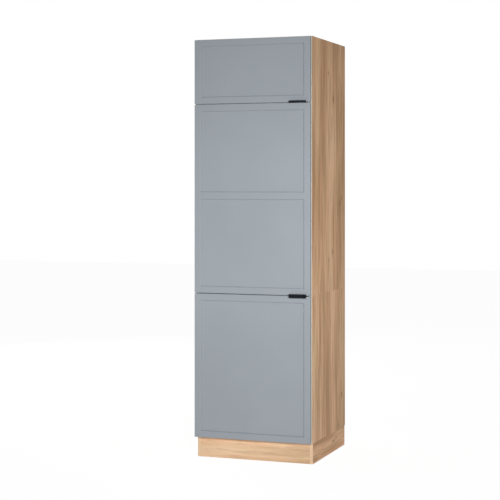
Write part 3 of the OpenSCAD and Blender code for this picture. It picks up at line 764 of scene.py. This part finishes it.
class CABINET_OT_fronts(bpy.types.Operator):
    """Models the three doors with their milled fields, and bores them for the hinge cups"""

    bl_idname = "cabinet.fronts"
    bl_label = "Fronts"

    # The milled edge of a field: distance from the frame and depth, in millimetres
    profile = (
        (0.0, 0.0), (0.4, 0.02), (0.8, 0.12), (1.1, 0.34), (1.4, 0.64), (3.75, 2.99),
        (3.9, 3.2), (4.0, 4.6), (4.6, 4.6), (4.7, 3.66), (5.0, 3.58), (5.6, 3.62),
        (10.0, 3.9), (20.6, 4.42), (23.0, 4.54), (26.0, 4.6),
    )

    def execute(self, context):
        sizes = context.scene.cabinet_fronts
        look = context.scene.cabinet_looks
        for door in DOORS:
            low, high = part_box("door_" + door)
            piece = box("front_" + door, low, high)
            fields = self.fields(sizes, door, low, high)
            self.mark(piece, sizes, fields, low, high)
            for bottom, top in fields:
                self.mill(piece, high.x - sizes.frame_width, bottom, top)
            self.round_edges(piece, low, high, low.y, sizes.edge_radius, 4)
            self.round_edges(piece, low, high, high.y, sizes.back_radius, 2)
            self.bore(piece, door, high)
            smooth(piece, 40)
            settle(piece, "door_" + door, lacquer("blue_grey_lacquer_" + door, look.lacquer, low, high))
        return {"FINISHED"}

    def fields(self, sizes, door, low, high):
        """The lower and upper end of each field of a door."""
        bottom = low.z + sizes.frame_width
        top = high.z - sizes.frame_width
        if door != "middle":
            return [(bottom, top)]
        rail = low.z + sizes.rail_place
        half = sizes.rail_height / 2
        return [(bottom, rail - half), (rail + half, top)]

    def mark(self, piece, sizes, fields, low, high):
        """Cuts the outlines of the fields across the whole board."""
        cuts = [((x, 0, 0), (1, 0, 0)) for x in (low.x + sizes.frame_width, high.x - sizes.frame_width)]
        cuts += [((0, 0, z), (0, 0, 1)) for field in fields for z in field]
        slice_at(piece, cuts)

    def mill(self, piece, half_width, bottom, top):
        """Sinks a field below its frame, ring by ring."""

        def inside(centre, normal):
            return normal.y < -0.9 and abs(centre.x) < half_width and bottom < centre.z < top

        edit(piece, "FACE", inside)
        for before, after in zip(self.profile, self.profile[1:]):
            bpy.ops.mesh.inset(
                thickness=(after[0] - before[0]) / 1000,
                depth=-(after[1] - before[1]) / 1000,
                use_even_offset=True,
            )
        done()

    def round_edges(self, piece, low, high, y, radius, segments):
        """Rounds the four outer edges of the front or of the back."""

        def outer(a, b):
            level = any(same(a.z, z) and same(b.z, z) for z in (low.z, high.z))
            upright = any(same(a.x, x) and same(b.x, x) for x in (low.x, high.x))
            return same(a.y, y) and same(b.y, y) and (level or upright)

        bevel(piece, "EDGE", radius, segments, outer)

    def bore(self, piece, door, high):
        """Cuts the holes that the hinge cups sit in."""
        past = 0.001
        depth = high.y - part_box("hinge_cups_" + door)[0].y
        for z in cup_heights(door):
            centre = (CUP_X, high.y - depth / 2 + past, z)
            cut(piece, drum("cup_bore", centre, CUP_RADIUS, depth + 2 * past, 64, lying=True))


class CABINET_OT_pulls(bpy.types.Operator):
    """Bends the three edge pulls from sheet and rounds their corners"""

    bl_idname = "cabinet.pulls"
    bl_label = "Edge pulls"

    # Height of the lip above the sheet that it is bent from, and radius of the corners behind the door
    lip_height = 0.0075
    heel_radius = 0.003

    def execute(self, context):
        sizes = context.scene.cabinet_pulls
        for door in DOORS:
            low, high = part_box("handle_" + door)
            settle(self.bend(door, low, high, sizes), "handle_" + door, SKINS["pull"])
        return {"FINISHED"}

    def bend(self, door, low, high, sizes):
        """One pull: a lip in front, a level strip under or over the door, and a leg behind it."""
        up = -1 if door == "bottom" else 1
        half = sizes.sheet / 2
        edge = low.z + half if up > 0 else high.z - half
        lip = self.lip_height + half
        leg = high.z - edge if up > 0 else edge - low.z
        front = low.y + half
        back = high.y - half
        deselect()
        middle = ((low.x + high.x) / 2, front, edge + up * lip / 2)
        bpy.ops.mesh.primitive_plane_add(size=1, location=middle, rotation=(math.pi / 2, 0, 0))
        piece = bpy.context.object
        piece.name = "pull_" + door
        piece.scale = (high.x - low.x, lip, 1)
        bpy.ops.object.transform_apply(location=True, rotation=True, scale=True)
        edit(piece, "EDGE", lambda a, b: same(a.z, edge) and same(b.z, edge))
        bpy.ops.mesh.extrude_edges_move(TRANSFORM_OT_translate={"value": (0, back - front, 0)})
        bpy.ops.mesh.extrude_edges_move(TRANSFORM_OT_translate={"value": (0, 0, up * leg)})
        done()
        bevel(
            piece, "EDGE", sizes.bend, 6,
            lambda a, b: same(a.z, edge) and same(b.z, edge) and same(a.y, b.y),
        )
        bevel(piece, "VERT", sizes.corner, 8, lambda v: same(v.z, edge + up * lip) and same(v.y, front))
        bevel(piece, "VERT", self.heel_radius, 6, lambda v: same(v.z, edge + up * leg) and same(v.y, back))
        modify(piece, "SOLIDIFY", thickness=sizes.sheet, offset=0.0, use_even_offset=True)
        edit_all(piece)
        bpy.ops.mesh.normals_make_consistent(inside=False)
        done()
        ease(piece, FINE_EDGE, 3, 50)
        return piece


def screw(head_radius, head_height, shaft_radius, length):
    """A round-headed screw with a cross recess. Its head stands on the origin, its shaft points down."""
    piece = drum("screw", (0, 0, head_height / 2), head_radius, head_height, 32)
    rounding = head_height * 0.55
    bevel(piece, "EDGE", rounding, 4, lambda a, b: same(a.z, head_height) and same(b.z, head_height))
    point = shaft_radius * 1.5
    edit(piece, "FACE", lambda c, n: n.z < -0.9 and same(c.z, 0))
    bpy.ops.mesh.inset(thickness=head_radius - shaft_radius, depth=0)
    raise_faces(point - length)
    raise_faces(-point)
    narrow(0.25, -length)
    done()
    reach = head_radius * 0.62
    thin = head_radius * 0.16
    sunk = head_height * 0.4
    for a, b in ((reach, thin), (thin, reach)):
        cut(piece, box("cross", (-a, -b, sunk), (a, b, head_height + 0.001)))
    smooth(piece, 40)
    return piece


class CABINET_OT_screws(bpy.types.Operator):
    """Puts a cross-headed screw at each screw place of the pulls, the cups and the hinge plates"""

    bl_idname = "cabinet.screws"
    bl_label = "Screws"

    # The screws of the pulls and cups, and half the distance between a cup's two screws
    head_radius = 0.003325
    shaft_radius = 0.00175
    pull_head = 0.001
    pull_length = 0.012
    cup_head = 0.0008
    cup_length = 0.011
    cup_spacing = 0.0225

    # Height of a hinge screw's head, and its radius against the shaft's
    hinge_head = 0.002
    hinge_ratio = 1.75

    def execute(self, context):
        for door in DOORS:
            low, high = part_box("handle_screws_" + door)
            y = high.y - self.pull_head
            z = (low.z + high.z) / 2
            spots = [(low.x + self.head_radius, y, z), (high.x - self.head_radius, y, z)]
            piece = self.behind_door(spots, self.pull_head, self.pull_length, "pull_screws_" + door)
            settle(piece, "handle_screws_" + door, SKINS["zinc"])
            low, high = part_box("cup_screws_" + door)
            x = (low.x + high.x) / 2
            y = high.y - self.cup_head
            spots = [(x, y, z + s * self.cup_spacing) for z in cup_heights(door) for s in (-1, 1)]
            name = "cup_screws_" + door + "_finished"
            piece = self.behind_door(spots, self.cup_head, self.cup_length, name)
            settle(piece, "cup_screws_" + door, SKINS["zinc"])
        self.hinge_screws()
        return {"FINISHED"}

    def behind_door(self, spots, head, length, name):
        """One screw, copied to its places with the heads to the rear."""
        piece = screw(self.head_radius, head, self.shaft_radius, length)
        return copy_to(piece, [Matrix.Translation(spot) @ turned(-90, "X") for spot in spots], name)

    def hinge_screws(self):
        """The screws through the hinge plates and arms into the left side panel."""
        groups = {}
        for low, high in places_of("hinge_screws"):
            groups.setdefault(round(high.x - low.x, 4), []).append((low, high))
        screws = []
        for length, boxes in groups.items():
            radius = (boxes[0][1].z - boxes[0][0].z) / 2
            piece = screw(radius, self.hinge_head, radius / self.hinge_ratio, length - self.hinge_head)
            places = []
            for low, high in boxes:
                spot = (high.x - self.hinge_head, (low.y + high.y) / 2, (low.z + high.z) / 2)
                places.append(Matrix.Translation(spot) @ turned(90, "Y"))
            screws.append(copy_to(piece, places, "hinge_screws_" + str(len(screws))))
        settle(join("hinge_screws_finished", screws), "hinge_screws", SKINS["zinc"])


class CABINET_OT_boards(bpy.types.Operator):
    """Eases the edges of the carcass boards and covers them with oak decor and edge bands"""

    bl_idname = "cabinet.boards"
    bl_label = "Boards"

    def execute(self, context):
        raw = SKINS["raw_edge"]
        for side in ("left", "right"):
            name = "side_panel_" + side
            piece = softened(name, BOARD_EDGE)
            settle(piece, name, SKINS["side_" + side], SKINS["band_z"], raw)
            self.cover_front_and_rear(piece, name)
            self.cover_ends(piece, name, 2)
        for name in SHELVES:
            piece = softened(name, BOARD_EDGE)
            # The niche boards' front edges get the grey band, as painted shade seen through the doors' gaps
            settle(piece, name, SKINS["inside"], SKINS["band_niche" if "niche_" in name else "band_x"], raw)
            self.cover_front_and_rear(piece, name)
        for name in RAILS:
            piece = softened(name, BOARD_EDGE)
            settle(piece, name, SKINS["inside"], SKINS["band_x"])
            self.cover_ends(piece, name, 1)
        for name in ("back_panel_lower", "back_panel_upper"):
            low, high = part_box(name)
            piece = box(name + "_finished", low, high)
            ease(piece, FINE_EDGE)
            settle(piece, name, SKINS["hardboard"])
        return {"FINISHED"}

    def cover_front_and_rear(self, piece, name):
        """Bands a board's front edge, and leaves its rear edge as raw chipboard."""
        low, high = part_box(name)
        paint(piece, 1, lambda c, n: n.y < -0.9 and c.y < low.y + RIM)
        paint(piece, 2, lambda c, n: n.y > 0.9 and c.y > high.y - RIM)

    def cover_ends(self, piece, name, index):
        """Gives a board's top and bottom the material with this index."""
        low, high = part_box(name)
        paint(piece, index, lambda c, n: abs(n.z) > 0.9 and (c.z < low.z + RIM or c.z > high.z - RIM))


class CABINET_OT_plinth(bpy.types.Operator):
    """Makes the three plinth boards with their eased edges, and finishes their blocks and clips"""

    bl_idname = "cabinet.plinth"
    bl_label = "Plinth"

    def execute(self, context):
        # The plinth front wears the lighter copy of the oak, as painted light
        settle(self.board("plinth_front"), "plinth_front", SKINS["plinth_x"])
        for name in ("plinth_side_left", "plinth_side_right"):
            piece = self.board(name)
            settle(piece, name, SKINS["plinth_y"], SKINS["band_plinth"])
            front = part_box(name)[0].y
            paint(piece, 1, lambda c, n: n.y < -0.5 and c.y < front + RIM)
        for name in ("plinth_corner_blocks", "plinth_clips"):
            settle(softened(name, BOARD_EDGE), name, SKINS["plastic"])
        return {"FINISHED"}

    def board(self, name):
        low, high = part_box(name)
        piece = box(name + "_finished", low, high)
        ease(piece, BLUNT_EDGE, 3)
        return piece


class CABINET_OT_feet(bpy.types.Operator):
    """Models a levelling foot with its thread and ribs once for all four, and ribs the sockets"""

    bl_idname = "cabinet.feet"
    bl_label = "Feet"

    # The pad of a foot, in metres from the floor: its rim, its whole height and the radius of its top
    pad_rim = 0.004
    pad_height = 0.008
    neck_radius = 0.011

    # The fluted grip above the pad
    grip_radius = 0.009
    grip_height = 0.011
    grip_middle = 0.0125
    flute = 0.92

    # The threaded rod: radius, distance of the ridges, first ridge, plain end, and shares of root and tip
    rod_radius = 0.006
    pitch = 0.00175
    first_ridge = 0.020
    plain_end = 0.003
    root = 0.87
    tip = 0.78

    # A pad's ribs: start, distance from the pad's rim, then half thickness, lower and upper end, and slope
    rib_start = 0.007
    rib_inset = 0.0015
    pad_rib = (0.0009, 0.0035, 0.0135, -0.009)

    # A socket's ribs: start, end, half thickness, lower and upper end, and slope
    socket_rib = (0.0105, 0.0225, 0.0011, 0.0874, 0.0964, 0.0072)

    def execute(self, context):
        low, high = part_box("foot_front_left")
        foot = self.foot((high.x - low.x) / 2, high.z)
        spots = []
        for name in FEET:
            low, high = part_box(name)
            spots.append(Matrix.Translation(((low.x + high.x) / 2, (low.y + high.y) / 2, 0)))
            settle(twin(foot, spots[-1], name + "_finished"), name, SKINS["plastic"])
        bpy.data.objects.remove(foot)
        sockets = softened("foot_sockets", BOARD_EDGE)
        turns = [turned(90 * i, "Z") for i in range(4)]
        rib = self.rib("socket_rib", *self.socket_rib)
        ribs = copy_to(rib, [spot @ turn for spot in spots for turn in turns], "socket_ribs")
        settle(join("foot_sockets_finished", [sockets, ribs]), "foot_sockets", SKINS["plastic"])
        return {"FINISHED"}

    def foot(self, pad_radius, top):
        """A foot with its axis at the origin: pad, ribs, grip and rod."""
        pad = drum("pad", (0, 0, self.pad_rim / 2), pad_radius, self.pad_rim, 64)
        edit(pad, "FACE", lambda c, n: n.z > 0.9)
        raise_faces(self.pad_height - self.pad_rim)
        narrow(self.neck_radius / pad_radius, self.pad_height)
        done()
        ease(pad, BLUNT_EDGE, 3, 20)
        grip = drum("grip", (0, 0, self.grip_middle), self.grip_radius, self.grip_height, 36)
        edit(grip, "VERT", lambda v: round(math.degrees(math.atan2(v.y, v.x)) / 10) % 2)
        narrow(self.flute, self.grip_middle)
        done()
        ease(grip, FINE_EDGE, 2, 50)
        rib = self.rib("pad_rib", self.rib_start, pad_radius - self.rib_inset, *self.pad_rib)
        ribs = copy_to(rib, [turned(45 * i, "Z") for i in range(8)], "pad_ribs")
        return join("levelling_foot", [pad, grip, ribs, self.rod(self.pad_rim, top)])

    def rib(self, name, inner, outer, half, low, high, slope):
        """An upright rib whose outer end is lowered at the top, or raised at the bottom, by the slope."""
        rib = box(name, (inner, -half, low), (outer, half, high))
        middle = ((inner + outer) / 2, (low + high) / 2)
        edit(rib, "VERT", lambda v: v.x > middle[0] and (v.z > middle[1]) == (slope < 0))
        bpy.ops.transform.translate(value=(0, 0, slope))
        done()
        ease(rib, FINE_EDGE)
        return rib

    def rod(self, bottom, top):
        """A rod with a thread's ridges between its plain ends."""
        rod = drum("thread", (0, 0, (bottom + top) / 2), self.rod_radius, top - bottom, 32)
        first = self.first_ridge
        step = self.pitch / 2
        rings = int((top - self.plain_end - first) / step) // 2 * 2 + 1
        slice_at(rod, [((0, 0, first + i * step), (0, 0, 1)) for i in range(rings)])
        edit(rod, "VERT", lambda v: first - CLOSE < v.z < top - CLOSE and round((v.z - first) / step) % 2)
        narrow(self.root, 0)
        done()
        edit(rod, "VERT", lambda v: same(v.z, top))
        narrow(self.tip, top)
        done()
        smooth(rod, 25)
        return rod


class CABINET_OT_hinges(bpy.types.Operator):
    """Finishes the hinge arms, plates and cups"""

    bl_idname = "cabinet.hinges"
    bl_label = "Hinges"

    def execute(self, context):
        for name in ("hinge_arms", "hinge_plates", *("hinge_cups_" + door for door in DOORS)):
            settle(softened(name, SHEET_EDGE), name, SKINS["nickel"])
        return {"FINISHED"}


class CABINET_OT_fittings(bpy.types.Operator):
    """Gives the remaining small fittings their finishes"""

    bl_idname = "cabinet.fittings"
    bl_label = "Small fittings"

    # CAD nodes that keep their mesh, with their finishes
    plain = {"cam_locks": "zinc", "cam_bolts": "zinc", "rail_dowels": "dowel", "socket_screws": "zinc"}

    def execute(self, context):
        settle(softened("shelf_pins", FINE_EDGE), "shelf_pins", SKINS["zinc"])
        for door in DOORS:
            settle(softened("bumpers_" + door, SOFT_EDGE, 3), "bumpers_" + door, SKINS["rubber"])
        for name, finish in self.plain.items():
            mesh = NODES[name].data
            mesh.materials.clear()
            mesh.materials.append(SKINS[finish])
        return {"FINISHED"}


class CABINET_OT_stage(bpy.types.Operator):
    """Sets up the floor, the soft lights, the white surroundings and the camera"""

    bl_idname = "cabinet.stage"
    bl_label = "Stage"

    # Place, aim and width of the two lights
    key = ((3.19, -6.841, 2.25), (0, 0, 0.98), 1.5)
    fill = ((-3.6, 3.0, 2.2), (0, 0, 1.0), 2.6)

    # The photo's camera: place, turn to the left, focal length and shift of the picture
    eye = (2.312, -6.644, 1.3484)
    eye_turn = 20.04
    lens = 100.62
    shift = -0.1332

    # Width of the floor, and the light that falls on it in the open as a share of white
    floor_width = 30
    floor_light = 0.45

    def execute(self, context):
        sizes = context.scene.cabinet_stage
        self.floor(sizes)
        self.world(context.scene, sizes)
        self.light("key_light", *self.key, sizes.key_power, sizes.key_spread)
        self.light("fill_light", *self.fill, sizes.fill_power, math.pi)
        self.camera(context.scene)
        context.scene.view_settings.view_transform = "Standard"
        return {"FINISHED"}

    def floor(self, sizes):
        """A floor that looks white to the camera and hardly darkens in the shadow."""
        deselect()
        bpy.ops.mesh.primitive_plane_add(size=self.floor_width, location=(0, 0, 0))
        ground = bpy.context.object
        ground.name = "floor"
        made = bpy.data.materials.new("pale_floor")
        made.use_nodes = True
        tree = made.node_tree
        tree.nodes.clear()
        dim = sizes.floor_shade
        seen = self.glowing(tree, dim, 1.0 - dim * self.floor_light)
        bounce = self.glowing(tree, 0.8, sizes.floor_bounce)
        to_camera = shader_node(tree, "LightPath").outputs["Is Camera Ray"]
        mixed = shader_node(tree, "MixShader", {0: to_camera, 1: bounce, 2: seen})
        out = tree.nodes.new("ShaderNodeOutputMaterial")
        tree.links.new(mixed.outputs[0], out.inputs["Surface"])
        ground.data.materials.append(made)

    def glowing(self, tree, grey, strength):
        """A matte grey with white light added to it."""
        matte = shader_node(tree, "BsdfDiffuse", {"Color": (grey, grey, grey, 1)})
        glow = shader_node(tree, "Emission", {"Color": (1, 1, 1, 1), "Strength": strength})
        return shader_node(tree, "AddShader", {0: matte.outputs[0], 1: glow.outputs[0]}).outputs[0]

    def world(self, scene, sizes):
        """Surroundings that look white and light the cabinet only a little."""
        world = bpy.data.worlds.new("white_room")
        world.use_nodes = True
        scene.world = world
        tree = world.node_tree
        back = tree.nodes["Background"]
        path = shader_node(tree, "LightPath").outputs
        shown = math_node(tree, "MAXIMUM", path["Is Camera Ray"], path["Is Transmission Ray"])
        strength = times_plus(tree, shown, 1.0 - sizes.sky, sizes.sky)
        tree.links.new(strength, back.inputs["Strength"])
        back.inputs["Color"].default_value = (1, 1, 1, 1)

    def light(self, name, place, aim, width, power, spread):
        data = bpy.data.lights.new(name, "AREA")
        data.shape = "DISK"
        data.size = width
        data.energy = power
        data.spread = spread
        lamp = bpy.data.objects.new(name, data)
        lamp.location = place
        lamp.rotation_euler = (Vector(aim) - Vector(place)).to_track_quat("-Z", "Y").to_euler()
        bpy.context.scene.collection.objects.link(lamp)

    def camera(self, scene):
        data = bpy.data.cameras.new("photo_camera")
        data.sensor_width = 36
        data.lens = self.lens
        data.shift_y = self.shift
        camera = bpy.data.objects.new("photo_camera", data)
        camera.location = self.eye
        camera.rotation_euler = (math.radians(90), 0, math.radians(self.eye_turn))
        scene.collection.objects.link(camera)
        scene.camera = camera


class CABINET_PT_sidebar(bpy.types.Panel):
    """Lists the cabinet's steps with their sizes and colours"""

    bl_idname = "CABINET_PT_sidebar"
    bl_label = "Fridge housing unit"
    bl_space_type = "VIEW_3D"
    bl_region_type = "UI"
    bl_category = "Cabinet"

    def draw(self, context):
        for group in GROUPS:
            column = self.layout.column(align=True)
            settings = getattr(context.scene, group)
            for key in settings.__annotations__:
                column.prop(settings, key)
        for step in STEPS:
            self.layout.operator(step.bl_idname)


STEPS = (
    CABINET_OT_fronts,
    CABINET_OT_pulls,
    CABINET_OT_screws,
    CABINET_OT_boards,
    CABINET_OT_plinth,
    CABINET_OT_feet,
    CABINET_OT_hinges,
    CABINET_OT_fittings,
    CABINET_OT_stage,
)
GROUPS = {
    "cabinet_looks": CabinetLooks,
    "cabinet_fronts": CabinetFronts,
    "cabinet_pulls": CabinetPulls,
    "cabinet_stage": CabinetStage,
}


def register():
    for name, group in GROUPS.items():
        bpy.utils.register_class(group)
        setattr(bpy.types.Scene, name, bpy.props.PointerProperty(type=group))
    for step in STEPS:
        bpy.utils.register_class(step)
    bpy.utils.register_class(CABINET_PT_sidebar)


def unregister():
    bpy.utils.unregister_class(CABINET_PT_sidebar)
    for step in reversed(STEPS):
        bpy.utils.unregister_class(step)
    for name, group in GROUPS.items():
        delattr(bpy.types.Scene, name)
        bpy.utils.unregister_class(group)


def main():
    register()
    make_skins()
    bpy.ops.cabinet.fronts()
    bpy.ops.cabinet.pulls()
    bpy.ops.cabinet.screws()
    bpy.ops.cabinet.boards()
    bpy.ops.cabinet.plinth()
    bpy.ops.cabinet.feet()
    bpy.ops.cabinet.hinges()
    bpy.ops.cabinet.fittings()
    bpy.ops.cabinet.stage()
    deselect()


if __name__ == "__main__":
    main()
